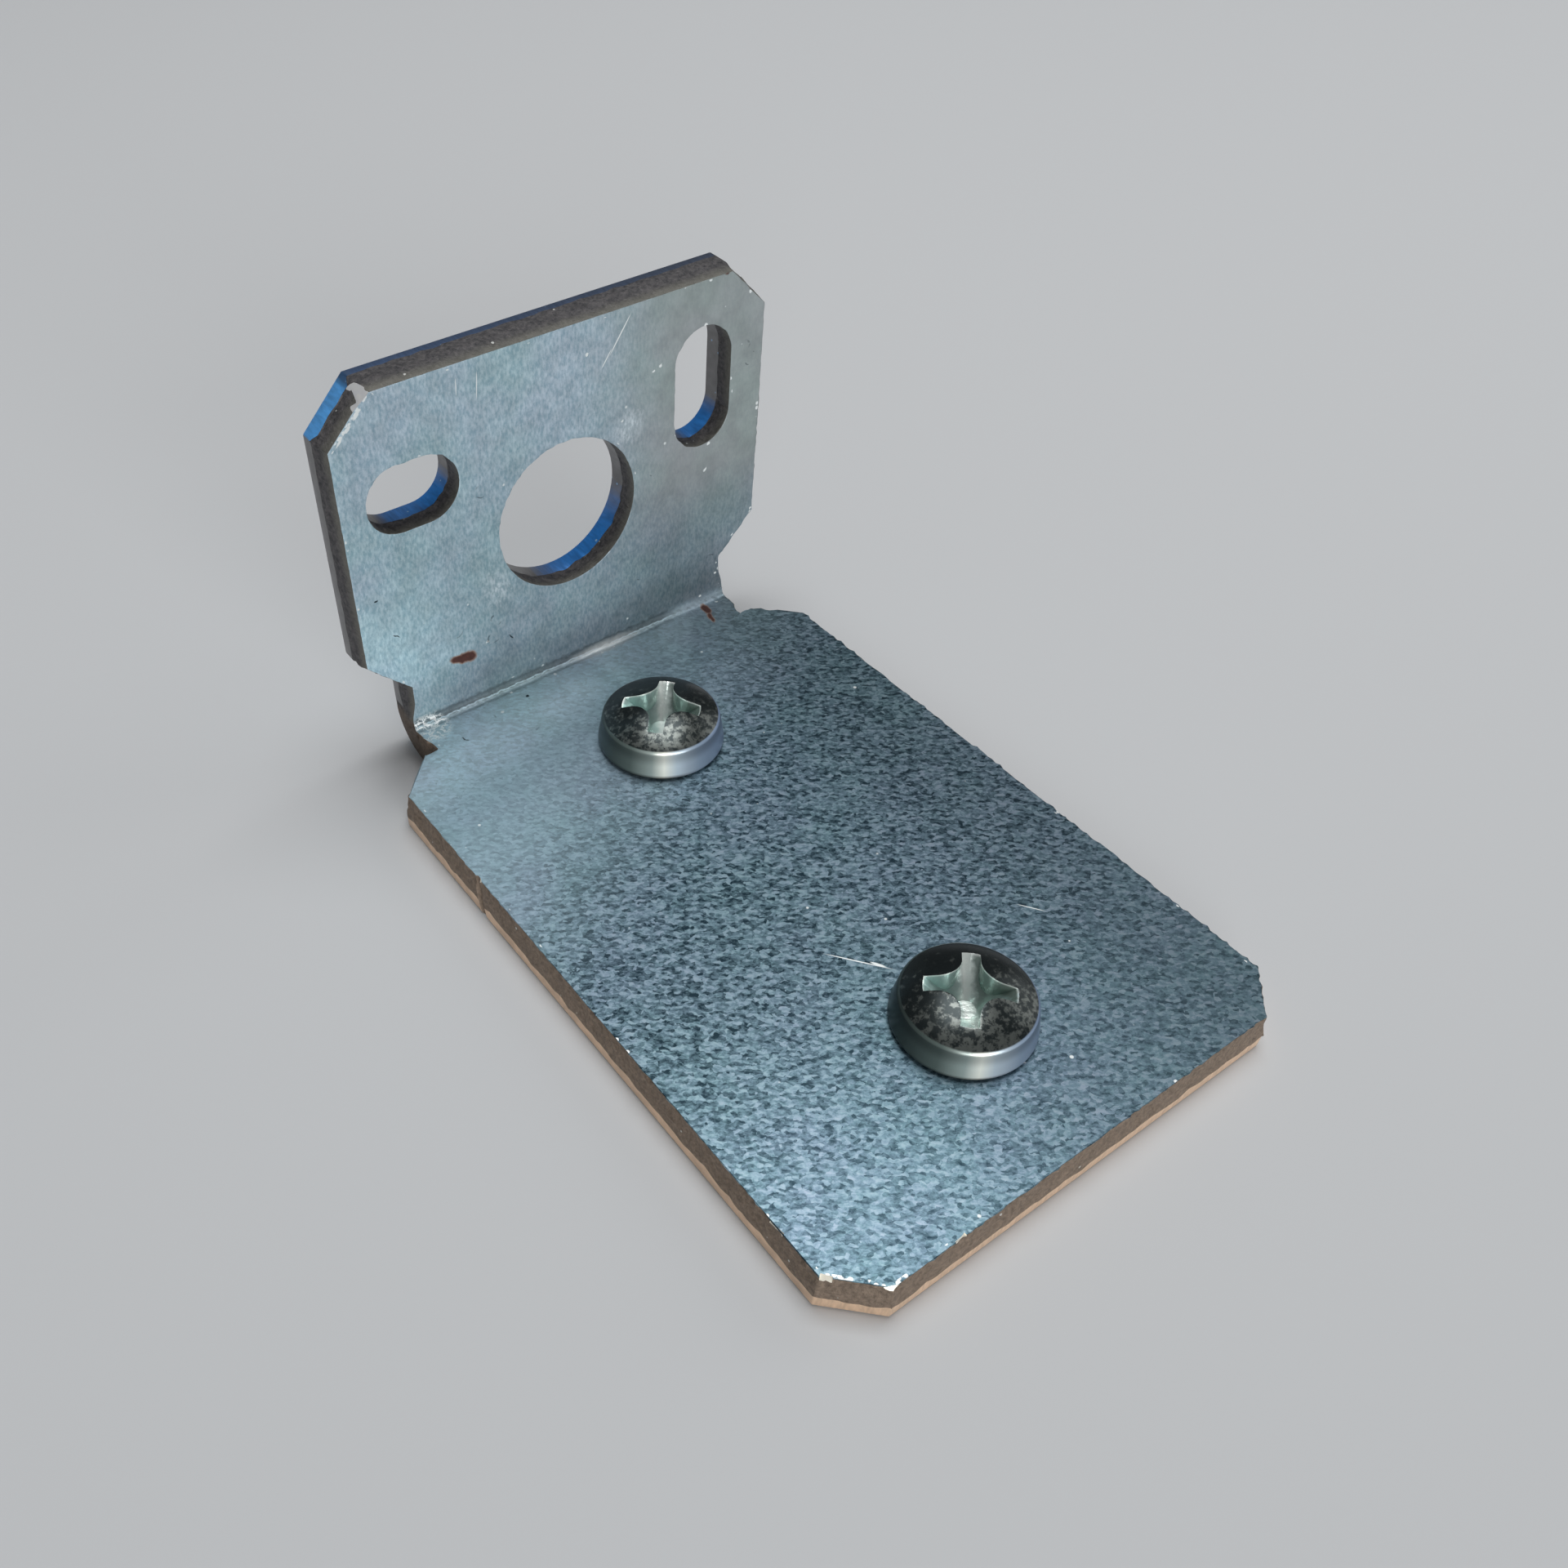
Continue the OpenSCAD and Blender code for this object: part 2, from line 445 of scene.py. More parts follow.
# Slivers that the chips left loose are cleared away
edit(bracket)
pick(bracket, "faces", lambda f: f.calc_area() > SHEET_FACE)
bpy.ops.mesh.select_linked()
bpy.ops.mesh.select_all(action="INVERT")
bpy.ops.mesh.delete(type="VERT")
close()
focus(bracket)
bpy.ops.object.shade_smooth_by_angle(angle=SHEET_SMOOTH)


# Screws: a turned head and core, a rolled thread and a cross recess
def draw_section(name, section):
    """A half section drawn point by point from one corner, as a chain of edges in the XZ plane."""
    bpy.ops.object.select_all(action="DESELECT")
    bpy.ops.mesh.primitive_plane_add(size=1 * MM, location=(0, 0, 0))
    piece = start_piece(name)
    bpy.ops.mesh.select_mode(type="VERT")
    take_all()
    bpy.ops.mesh.merge(type="CENTER")
    bpy.ops.transform.translate(value=(section[0][0], 0, section[0][1]))
    for here, there in zip(section, section[1:]):
        move = (there[0] - here[0], 0, there[1] - here[1])
        bpy.ops.mesh.extrude_region_move(TRANSFORM_OT_translate={"value": move})
    return piece


def turn_section(name, section, count):
    """A turned solid: the half section spun about the Z axis and closed."""
    piece = draw_section(name, section)
    take_all()
    bpy.ops.mesh.spin(steps=count, angle=2 * math.pi, center=(0, 0, 0), axis=(0, 0, 1))
    take_all()
    bpy.ops.mesh.remove_doubles(threshold=FINE_WELD)
    bpy.ops.mesh.normals_make_consistent(inside=False)
    close()
    return piece


def arc(centre, radius, start, end, count):
    """Points on an arc of a half section, angles in degrees from the outward direction."""
    angles = [math.radians(start + (end - start) * i / count) for i in range(count + 1)]
    return [(centre[0] + radius * math.cos(a), centre[1] + radius * math.sin(a)) for a in angles]


FOOT_R = 0.35 * MM
TURN_STEPS = 96
crown_z = HEAD_H - CROWN_R
rim_reach = CROWN_R - RIM_R
side_reach = HEAD_R * math.cos(HEAD_LEAN) - RIM_R
rim_angle = HEAD_LEAN + math.acos((side_reach - crown_z * math.sin(HEAD_LEAN)) / rim_reach)
rim_centre = (rim_reach * math.cos(rim_angle), crown_z + rim_reach * math.sin(rim_angle))
foot_x = HEAD_R - FOOT_R * (1 + math.sin(HEAD_LEAN)) / math.cos(HEAD_LEAN)
lean, rim_top = math.degrees(HEAD_LEAN), math.degrees(rim_angle)
core_end = -SHEET_T - 1 * MM
section = [(0, core_end), (0.8 * CORE_R, core_end), (0.8 * CORE_R, -SHEET_T - 0.1 * MM),
           (CORE_R, -SHEET_T + 0.1 * MM), (CORE_R, 0)]
section += arc((foot_x, FOOT_R), FOOT_R, -90, lean, 6)
section += arc(rim_centre, RIM_R, lean, rim_top, 8)
section += arc((0, crown_z), CROWN_R, rim_top, 90, 20)[1:]
screw = turn_section("front_screw", section, TURN_STEPS)

# The recess's cutter: a cross with round inner corners, inside a cone
bpy.ops.object.select_all(action="DESELECT")
bpy.ops.mesh.primitive_plane_add(size=RECESS_ARM, location=(0, 0, HEAD_H - RECESS_DEPTH))
cross = start_piece("recess_cross")
ARM_REACH = RECESS_SPAN / 2 + 1 * MM
for side in ((1, 0), (-1, 0), (0, 1), (0, -1)):
    direction = Vector((*side, 0))
    pick(cross, "edges", lambda e: all(v.co.dot(direction) > 0.49 * RECESS_ARM for v in e.verts)
         and e.is_boundary and sum(abs(v.co.x) + abs(v.co.y) for v in e.verts) < 2.1 * RECESS_ARM)
    arm = direction * (ARM_REACH - RECESS_ARM / 2)
    bpy.ops.mesh.extrude_region_move(TRANSFORM_OT_translate={"value": arm})
take_all()
bpy.ops.mesh.dissolve_limited(angle_limit=math.radians(1))
take_all()
bpy.ops.mesh.extrude_region_move(TRANSFORM_OT_translate={"value": (0, 0, RECESS_DEPTH + 1 * MM)})
take_all()
bpy.ops.mesh.normals_make_consistent(inside=False)
pick(cross, "edges", lambda e: abs(e.verts[0].co.z - e.verts[1].co.z) > 1 * MM
     and all(abs(v.co.x) < RECESS_ARM and abs(v.co.y) < RECESS_ARM for v in e.verts))
bpy.ops.mesh.bevel(offset=RECESS_ROUND, segments=10, affect="EDGES", clamp_overlap=False)
take_all()
bpy.ops.transform.rotate(value=RECESS_TURN, orient_axis="Z", center_override=(0, 0, 0))
close()
tip_z = crown_z + math.sqrt(CROWN_R ** 2 - (RECESS_SPAN / 2) ** 2)
slope = (RECESS_SPAN - RECESS_FLOOR) / 2 / (tip_z - HEAD_H + RECESS_DEPTH)
CONE_H = RECESS_DEPTH + 0.5 * MM
bpy.ops.mesh.primitive_cone_add(
    vertices=TURN_STEPS, radius1=RECESS_FLOOR / 2, radius2=RECESS_FLOOR / 2 + slope * CONE_H,
    depth=CONE_H, location=(0, 0, HEAD_H - RECESS_DEPTH + CONE_H / 2))
cone = start_piece("recess_cone")
settle(cone)
settle(cross)
combine(cross, cone, "INTERSECT")
give_slots(cross, SCREW_SLOTS)
give_slots(screw, SCREW_SLOTS)
edit(cross)
set_slot(cross, lambda f: True, RECESS)
close()
combine(screw, cross, "DIFFERENCE")

# The rolled thread: one turn of its section wound up the shank, cut off at both ends and chamfered. The
# section gives the radius, and the height in pitches.
THREAD_SECTION = ((CORE_R, 0), (CORE_R, 1 / 8), (THREAD_R, 7 / 16), (THREAD_R, 9 / 16), (CORE_R, 7 / 8),
                  (CORE_R, 1))
thread = draw_section("thread", [(radius, up * THREAD_PITCH) for radius, up in THREAD_SECTION])
take_all()
bpy.ops.transform.translate(value=(0, 0, -SHANK_L - 2 * THREAD_PITCH))
close()
wind = thread.modifiers.new("wind", "SCREW")
wind.steps = 40
wind.render_steps = 40
wind.screw_offset = THREAD_PITCH
wind.iterations = 12
wind.use_merge_vertices = True
wind.merge_threshold = WELD
wind.use_smooth_shade = False
apply_modifiers(thread)
edit(thread)
for end, out in ((-SHEET_T, 1), (-SHANK_L - THREAD_PITCH, -1)):
    take_all()
    bpy.ops.mesh.bisect(plane_co=(0, 0, end), plane_no=(0, 0, out), clear_outer=True, use_fill=True,
                        threshold=FINE_WELD)
take_all()
bpy.ops.mesh.remove_doubles(threshold=FINE_WELD)
bpy.ops.mesh.normals_make_consistent(inside=False)
close()
TIP_OVER = 0.05 * MM
tip_r = THREAD_R + TIP_OVER
tip = turn_section("tip", [(0, -SHANK_L), (THREAD_R - TIP_CUT, -SHANK_L),
                           (tip_r, -SHANK_L + TIP_CUT + TIP_OVER), (tip_r, 0), (0, 0)], 64)
combine(thread, tip, "INTERSECT")
combine(screw, thread, "UNION")

# The recess's rim is broken, and the screw goes to its place
RECESS_BREAK = 0.07 * MM
edit(screw)
pick(screw, "edges", lambda e: e.is_manifold and e.calc_face_angle() > math.radians(40)
     and all(v.co.z > 0.7 * HEAD_H and math.hypot(v.co.x, v.co.y) < 0.8 * HEAD_R for v in e.verts))
bpy.ops.mesh.bevel(offset=RECESS_BREAK, segments=2, affect="EDGES", clamp_overlap=True)
set_slot(screw, lambda f: f.select, RECESS)
take_all()
bpy.ops.transform.translate(value=(0, -SCREW_Y, SHEET_T))
settle(screw)
bpy.ops.object.shade_smooth_by_angle(angle=SCREW_SMOOTH)
rear_screw = new_piece("rear_screw", screw.data.copy())
edit(rear_screw)
take_all()
bpy.ops.transform.translate(value=(0, 2 * SCREW_Y, 0))
close()


# Materials
def colour(text):
    """The linear colour of an sRGB hex value."""
    parts = [int(text[i:i + 2], 16) / 255 for i in (1, 3, 5)]
    return [*(c / 12.92 if c <= 0.04045 else ((c + 0.055) / 1.055) ** 2.4 for c in parts), 1.0]


def add(tree, kind, sockets=None, **settings):
    """Adds a node with its settings, and sets or links its sockets. Returns its outputs."""
    made = tree.nodes.new("ShaderNode" + kind)
    for name, value in settings.items():
        setattr(made, name, value)
    for socket, value in (sockets or {}).items():
        if isinstance(value, bpy.types.NodeSocket):
            tree.links.new(value, made.inputs[socket])
        else:
            made.inputs[socket].default_value = value
    return made.outputs


def new_material(name):
    """An empty material, the function that adds its nodes, and a position socket in millimetres."""
    made = bpy.data.materials.new(name)
    made.use_nodes = True
    made.node_tree.nodes.clear()
    node = partial(add, made.node_tree)
    here = node("TexCoord")["Object"]
    place = node("VectorMath", {0: here, 1: (1 / MM, 1 / MM, 1 / MM)}, operation="MULTIPLY")[0]
    return made, node, place


# Sockets of a colour mix
FACTOR, FIRST, SECOND, RESULT = 0, 6, 7, 2
# Settings of a colour mix, of one that multiplies, and of a range with soft ends
BLENDED = {"data_type": "RGBA"}
SHADED = {"data_type": "RGBA", "blend_type": "MULTIPLY"}
EASED = {"interpolation_type": "SMOOTHSTEP"}
# How far the flecks lie turned in the base leg's plane, and how much longer than wide they are
FLECK_TURN = math.radians(-35)
FLECK_LENGTH = 1.7


def marks(node, place, spots, core=0.7):
    """A mask of a few marks, each an ellipsoid with its centre and half sizes in millimetres and its turn,
    full inside a core and fading outwards."""
    mask = 0.0
    for centre, half, turn in spots:
        near = node("Mapping", {0: place, "Location": centre, "Scale": half,
                                "Rotation": [math.radians(a) for a in turn]}, vector_type="TEXTURE")[0]
        away = node("VectorMath", {0: near}, operation="LENGTH")["Value"]
        inside = node("MapRange", {0: away, 1: 1.0, 2: core})[0]
        mask = node("Math", {0: inside, 1: mask}, operation="MAXIMUM")[0]
    return mask


def specks(node, place, spacing, share, radius, soft, strength):
    """A mask of round specks: their spacing in millimetres, the share of places that have one, their
    largest radius and soft edge as parts of the spacing, and their strength."""
    cells = node("TexVoronoi", {"Vector": place, "Scale": 1 / spacing})
    chance = node("SeparateXYZ", {0: cells["Color"]})[0]
    reach = node("MapRange", {0: chance, 1: 1 - share, 2: 1.0, 3: 0.0, 4: radius})[0]
    inside = node("Math", {0: reach, 1: cells["Distance"]}, operation="SUBTRACT")[0]
    return node("MapRange", {0: inside, 1: 0, 2: soft, 4: strength})[0]


def past_fold(node, z):
    """A mask of the upright leg, by height in millimetres."""
    return node("MapRange", {0: z, 1: 2.6, 2: 3.4}, **EASED)[0]


def spread(ramp, stops):
    """Gives a colour ramp its stops: places from 0 to 1, with their colours."""
    for at, tint in stops[1:-1]:
        ramp.elements.new(at)
    for point, (at, tint) in zip(ramp.elements, stops):
        point.color = tint


# Marks on the sheet: centre, half sizes and turn
LEVEL = (0, 0, 0)
RUST = (
    ((-8.05, 23.8, 6.36), (0.68, 0.4, 0.42), (0, 24, 0)),
    ((-8.7, 23.8, 6.42), (0.72, 0.4, 0.28), (0, 24, 0)),
    ((10.55, 22.9, 2.5), (0.26, 0.62, 0.3), (0, 0, -10)),
    ((10.25, 21.95, 2.5), (0.16, 0.6, 0.3), (0, 0, -16)),
    ((11.9, 24.0, 26.0), (0.35, 0.3, 0.3), LEVEL),
)
RUST_EDGE = (
    ((-8.05, 23.8, 6.36), (0.76, 0.4, 0.5), (0, 24, 0)),
    ((-8.7, 23.8, 6.42), (0.82, 0.4, 0.36), (0, 24, 0)),
    ((10.55, 22.9, 2.5), (0.33, 0.7, 0.3), (0, 0, -10)),
    ((10.25, 21.95, 2.5), (0.23, 0.67, 0.3), (0, 0, -16)),
)
SCRATCHES = (
    ((-1.87, -7.55, 2.5), (0.045, 2.14, 0.3), (0, 0, 38)),
    ((-1.14, -8.33, 2.5), (0.09, 0.5, 0.3), (0, 0, 32)),
    ((8.83, -10.3, 2.5), (0.035, 0.9, 0.3), (0, 0, 36)),
    ((0.59, -17.56, 2.5), (0.1, 0.3, 0.3), (0, 0, 40)),
    ((4.1, 23.8, 24.4), (0.05, 0.3, 1.5), (0, 36, 0)),
    ((3.1, 23.8, 23.2), (0.04, 0.3, 0.7), (0, 36, 0)),
    ((-5.6, 23.8, 24.3), (0.04, 0.3, 0.9), (0, 6, 0)),
    ((-6.9, 23.8, 24.6), (0.03, 0.3, 0.6), (0, 3, 0)),
)
PITS = (
    ((-4.78, 22.3, 2.5), (0.16, 0.13, 0.3), LEVEL),
    ((-13.67, 23.8, 13.1), (0.14, 0.3, 0.1), LEVEL),
    ((-10.3, 21.0, 2.5), (0.05, 0.3, 0.3), (0, 0, 30)),
    ((-4.8, 23.8, 6.5), (0.05, 0.3, 0.3), (0, -35, 0)),
    ((-12.7, 23.8, 10.1), (0.05, 0.3, 0.35), (0, -50, 0)),
)
BRIGHT_SPOTS = (
    ((-7.0, 21.9, 2.5), (0.17, 0.14, 0.3), LEVEL),
    ((-6.55, 23.8, 6.9), (0.1, 0.3, 0.1), LEVEL),
    ((-2.1, 23.1, 2.5), (0.12, 0.1, 0.3), LEVEL),
    ((11.9, 23.8, 4.5), (0.14, 0.3, 0.12), LEVEL),
    ((1.72, 23.8, 23.9), (0.14, 0.3, 0.12), LEVEL),
    ((10.7, 23.8, 13.2), (0.1, 0.3, 0.22), (0, 40, 0)),
    ((-12.95, 23.8, 24.95), (0.13, 0.3, 0.4), (0, 45, 0)),
    ((-13.6, 23.8, 24.3), (0.16, 0.3, 0.3), (0, 45, 0)),
    ((-14.2, 23.8, 23.7), (0.1, 0.3, 0.35), (0, 45, 0)),
)
PALE_PATCHES = (
    ((-5.5, 23.8, 10.6), (1.3, 0.6, 1.7), (0, -20, 0)),
    ((4.7, 23.8, 18.3), (1.2, 0.6, 1.5), (0, 30, 0)),
)
SMEAR = (
    ((2.2, 23.5, 2.62), (3.2, 0.6, 0.45), LEVEL),
)
CRUMPLE = (
    ((-11.6, 23.1, 2.6), (1.5, 1.3, 0.9), LEVEL),
)


# Painted shade and painted highlight across the crease: brightness from 1 mm out on the base leg to 1 mm up
# the upright leg
CREASE_PAINTED_LIGHT = ((0.0, 1.0), (0.16, 0.96), (0.22, 0.64), (0.42, 0.62), (0.455, 1.2), (0.49, 1.12),
                 (0.515, 0.36), (0.75, 0.4), (0.86, 0.92), (1.0, 1.0))


def galvanised_sheet(name, beaded):
    """Hot dip galvanised steel, rolled smooth: a blue grey metal, mottled on the base leg with angular light
    and dark flecks of zinc, with painted light at the front on the left and painted shade along the right
    edge; paler and finely brushed on the upright leg, with a warm painted reflection to the right and
    painted shade near the fold. Painted shade and a painted highlight run along the crease of the fold, with
    rust, scratches, pits and white specks about. The rim is beaded with bright drops of zinc."""
    made, node, place = new_material(name)
    x, y, z = node("SeparateXYZ", {0: place})[:3]
    on_upright = past_fold(node, z)
    wobble = node("TexNoise", {"Vector": place, "Scale": 1 / 0.4, "Detail": 2})["Color"]
    frayed = node("VectorMath", {0: wobble, 1: (0.3, 0.3, 0.3), 2: place}, operation="MULTIPLY_ADD")[0]
    frayed = node("VectorMath", {0: frayed, 1: (0.15, 0.15, 0.15)}, operation="SUBTRACT")[0]
    cloud = node("TexNoise", {"Vector": place, "Scale": 1 / 5, "Detail": 2})[0]
    # Flecks of the base leg, about 0.2 mm wide: angular grains and soft clouds, with fewer dark ones at the
    # front, and calm towards the fold
    flat = node("Mapping", {0: frayed, "Rotation": (0, 0, FLECK_TURN), "Scale": (FLECK_LENGTH, 1, 1)},
                vector_type="TEXTURE")[0]
    cells = node("TexVoronoi", {"Vector": flat, "Scale": 1 / 0.2})["Color"]
    grain, hue = node("SeparateXYZ", {0: cells})[:2]
    coarse = node("TexNoise", {"Vector": flat, "Scale": 1 / 0.23, "Detail": 4, "Roughness": 0.65})[0]
    both = node("Math", {0: grain, 1: 0.35, 2: coarse}, operation="MULTIPLY_ADD")[0]
    fleck = node("MapRange", {0: both, 1: 0.46, 2: 0.9})[0]
    frontward = node("MapRange", {0: y, 1: -4, 2: -20}, **EASED)[0]
    sparse = node("MapRange", {0: both, 1: 0.26, 2: 0.72, 4: 0.6})[0]
    sparser = node("Math", {0: frontward, 1: 0.65}, operation="MULTIPLY")[0]
    fleck = node("Mix", {0: sparser, 2: fleck, 3: sparse}, data_type="FLOAT")[0]
    slant = node("Math", {0: x, 1: -0.55, 2: y}, operation="MULTIPLY_ADD")[0]
    rear_left = node("MapRange", {0: slant, 1: 6, 2: 22, 4: 0.8}, **EASED)[0]
    turned = node("Math", {0: x, 1: -0.2, 2: y}, operation="MULTIPLY_ADD")[0]
    by_fold = node("MapRange", {0: turned, 1: 17.5, 2: 22.5, 4: 0.85}, **EASED)[0]
    calm = node("Math", {0: rear_left, 1: by_fold}, operation="MAXIMUM")[0]
    base = node("Mix", {FACTOR: fleck, FIRST: colour("#0A2A37"), SECOND: colour("#829EAC")},
                **BLENDED)[RESULT]
    pale = node("MapRange", {0: both, 1: 0.72, 2: 1.0, 4: 0.55})[0]
    base = node("Mix", {FACTOR: pale, FIRST: base, SECOND: colour("#9BA4AE")}, **BLENDED)[RESULT]
    hue = node("Mix", {FACTOR: hue, FIRST: colour("#F6FBF9"), SECOND: colour("#FBF9FC")}, **BLENDED)[RESULT]
    base = node("Mix", {FACTOR: 1.0, FIRST: base, SECOND: hue}, **SHADED)[RESULT]
    # Painted light at the front on the left, painted shade along the right edge
    painted_light_leftward = node("MapRange", {0: x, 1: 4, 2: -10, 3: 1.0, 4: 1.42}, **EASED)[0]
    painted_light_front_left = node("Mix", {0: frontward, 2: 1.0, 3: painted_light_leftward}, data_type="FLOAT")[0]
    painted_shade_right_edge = node("MapRange", {0: x, 1: 2, 2: 14, 3: 1.0, 4: 0.76}, **EASED)[0]
    broad = node("Math", {0: painted_light_front_left, 1: painted_shade_right_edge}, operation="MULTIPLY")[0]
    base = node("Mix", {FACTOR: 1.0, FIRST: base, SECOND: broad}, **SHADED)[RESULT]
    smooth = node("Mix", {FACTOR: by_fold, FIRST: colour("#98AFB9"), SECOND: colour("#C8DEE7")},
                  **BLENDED)[RESULT]
    mottled = node("MapRange", {0: both, 1: 0.4, 2: 0.95, 3: 0.8, 4: 1.16})[0]
    mottled = node("Math", {0: mottled, 1: painted_shade_right_edge}, operation="MULTIPLY")[0]
    smooth = node("Mix", {FACTOR: 1.0, FIRST: smooth, SECOND: mottled}, **SHADED)[RESULT]
    base = node("Mix", {FACTOR: calm, FIRST: base, SECOND: smooth}, **BLENDED)[RESULT]
    # Short upright strokes on the upright leg, with a warm painted reflection to the right and painted shade
    # near the fold
    tall = node("Mapping", {0: place, "Scale": (1, 1, 2.2)}, vector_type="TEXTURE")[0]
    strokes = node("TexNoise", {"Vector": tall, "Scale": 1 / 0.18, "Detail": 4, "Roughness": 0.7})[0]
    brushed = node("MapRange", {0: strokes, 1: 0.37, 2: 0.63})[0]
    cool = node("Mix", {FACTOR: brushed, FIRST: colour("#90ACB9"), SECOND: colour("#BBCED7")},
                **BLENDED)[RESULT]
    # Painted warm reflection to the right, higher up the upright leg
    painted_light_rightward = node("MapRange", {0: x, 1: 0, 2: 9}, **EASED)[0]
    upward = node("MapRange", {0: z, 1: 7, 2: 14, 4: 0.85}, **EASED)[0]
    warm = node("Math", {0: painted_light_rightward, 1: upward}, operation="MULTIPLY")[0]
    upright = node("Mix", {FACTOR: warm, FIRST: cool, SECOND: colour("#989D9B")}, **BLENDED)[RESULT]
    # Painted shade near the fold, deepest to the right, with painted light near its left end
    low = node("MapRange", {0: z, 1: 16, 2: 7}, **EASED)[0]
    painted_fold_light_and_shade_left = node("MapRange", {0: x, 1: -6, 2: -13, 3: 0.84, 4: 1.36})[0]
    painted_fold_shade_deeper = node("MapRange", {0: painted_light_rightward, 3: painted_fold_light_and_shade_left, 4: 0.54})[0]
    painted_fold_shade = node("Mix", {0: low, 2: 1.0, 3: painted_fold_shade_deeper}, data_type="FLOAT")[0]
    painted_fold_shade_lowest = node("MapRange", {0: z, 1: 7, 2: 4.5, 3: 1.0, 4: 0.68})[0]
    painted_fold_shade = node("Math", {0: painted_fold_shade, 1: painted_fold_shade_lowest}, operation="MULTIPLY")[0]
    upright = node("Mix", {FACTOR: 1.0, FIRST: upright, SECOND: painted_fold_shade}, **SHADED)[RESULT]
    stains = node("TexNoise", {"Vector": place, "Scale": 1 / 1.5, "Detail": 3, "Roughness": 0.6})[0]
    stains = node("MapRange", {0: stains, 1: 0.35, 2: 0.65, 3: 0.9, 4: 1.08})[0]
    upright = node("Mix", {FACTOR: 1.0, FIRST: upright, SECOND: stains}, **SHADED)[RESULT]
    tone = node("Mix", {FACTOR: on_upright, FIRST: base, SECOND: upright}, **BLENDED)[RESULT]
    # Broad tints, between teal and lilac
    tint = node("MapRange", {0: cloud, 1: 0.35, 2: 0.65})[0]
    tint = node("Mix", {FACTOR: tint, FIRST: colour("#F6FCFA"), SECOND: colour("#FFFBFF")},
                **BLENDED)[RESULT]
    tone = node("Mix", {FACTOR: 1.0, FIRST: tone, SECOND: tint}, **SHADED)[RESULT]
    rubbed = node("MapRange", {0: strokes, 1: 0.45, 2: 0.65, 3: 0.2, 4: 1.0})[0]
    patches = marks(node, frayed, PALE_PATCHES, 0.0)
    patches = node("Math", {0: patches, 1: rubbed}, operation="MULTIPLY")[0]
    tone = node("Mix", {FACTOR: patches, FIRST: tone, SECOND: colour("#DCE7EE")}, **BLENDED)[RESULT]
    # The crease: a painted dark shade band, a painted highlight line and a painted grey shade band, side by
    # side, that end short of the right
    across = node("VectorMath", {0: frayed, 1: (0, 1, 1)}, operation="DOT_PRODUCT")["Value"]
    inside = node("VectorMath", {0: place, 1: (0, 1, -1)}, operation="DOT_PRODUCT")["Value"]
    inside = node("MapRange", {0: inside, 1: 22.2, 2: 21.6})[0]
    along = node("MapRange", {0: x, 1: 9, 2: 7.2, 4: inside})[0]
    crossing = node("MapRange", {0: across, 1: 25.3, 2: 27.3})[0]
    painted_crease_ramp = node("ValToRGB", {0: crossing})[0]
    painted_crease_greys = [(at, (shade / 2, shade / 2, shade / 2, 1)) for at, shade in CREASE_PAINTED_LIGHT]
    spread(painted_crease_ramp.node.color_ramp, painted_crease_greys)
    painted_crease_light = node("Mix", {FACTOR: along, FIRST: (0.5, 0.5, 0.5, 1), SECOND: painted_crease_ramp}, **BLENDED)[RESULT]
    painted_crease_light = node("Math", {0: painted_crease_light, 1: 2.0}, operation="MULTIPLY")[0]
    tone = node("Mix", {FACTOR: 1.0, FIRST: tone, SECOND: painted_crease_light}, **SHADED)[RESULT]
    # A bright smear along the crease, and bright zinc crumpled at its left end
    veins = node("TexNoise", {"Vector": place, "Scale": 1 / 0.45, "Detail": 4, "Roughness": 0.6})[0]
    veins_off = node("Math", {0: veins, 1: 0.5}, operation="SUBTRACT")[0]
    veins_off = node("Math", {0: veins_off}, operation="ABSOLUTE")[0]
    vein = node("MapRange", {0: veins_off, 1: 0.07, 2: 0.02})[0]
    crumple = node("Math", {0: vein, 1: marks(node, frayed, CRUMPLE)}, operation="MULTIPLY")[0]
    smeared = node("Math", {0: marks(node, frayed, SMEAR, 0.2), 1: 0.75}, operation="MULTIPLY")[0]
    zinc = node("Math", {0: crumple, 1: smeared}, operation="MAXIMUM")[0]
    # White specks about 0.2 mm across, and short dark curls of dross on the upright leg
    speck = specks(node, place, 1.5, 0.4, 0.09, 0.03, 0.8)
    spots = node("Math", {0: speck, 1: marks(node, frayed, BRIGHT_SPOTS)}, operation="MAXIMUM")[0]
    zinc = node("Math", {0: zinc, 1: spots}, operation="MAXIMUM")[0]
    zinc = node("Math", {0: zinc, 1: marks(node, place, SCRATCHES)}, operation="MAXIMUM")[0]
    if beaded:
